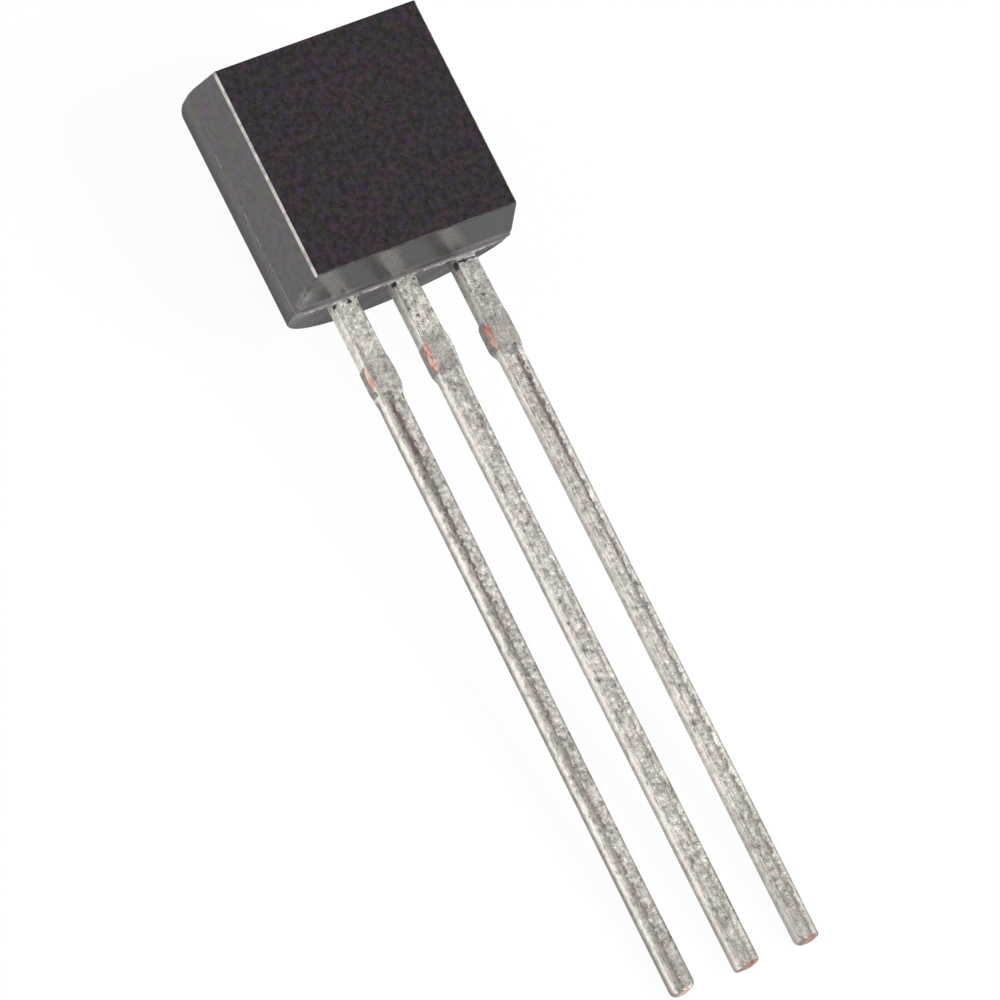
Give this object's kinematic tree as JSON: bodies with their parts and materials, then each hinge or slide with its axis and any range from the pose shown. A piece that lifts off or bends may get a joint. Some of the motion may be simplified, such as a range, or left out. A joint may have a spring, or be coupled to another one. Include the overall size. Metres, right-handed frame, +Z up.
{
  "type": "to-92 transistor",
  "caption": "Small three-lead transistor in a moulded black body with a flat front and a half-round back, lying on its back with its straight tinned leads.",
  "frame": {"origin": "on the surface that the part lies on, under the middle of its bounding box", "axes": "+Z up; the flat front faces up, leaning 7.5 degrees towards -Y as the part rests on its round back and its lead tips; the leads run towards -Y, with the emitter at -X and the base at +X"},
  "size_m": [0.0046, 0.0186, 0.004],
  "materials": {
    "epoxy": "fine-grained black epoxy moulding, matte on the flat and satin on the drafted sides",
    "tinned_lead": "dull tin plate over a copper alloy, with bare copper where the dam bar and the tips were cut",
    "silicon": "polished silicon with metal pads",
    "solder": "soft solder",
    "bond_wire_metal": "drawn gold wire"
  },
  "bodies": {
    "root": {"moulded_body": "epoxy", "emitter_lead": "tinned_lead", "collector_lead": "tinned_lead", "base_lead": "tinned_lead", "silicon_die": "silicon", "die_attach": "solder", "emitter_bond_wire": "bond_wire_metal", "base_bond_wire": "bond_wire_metal"}
  },
  "joints": []
}
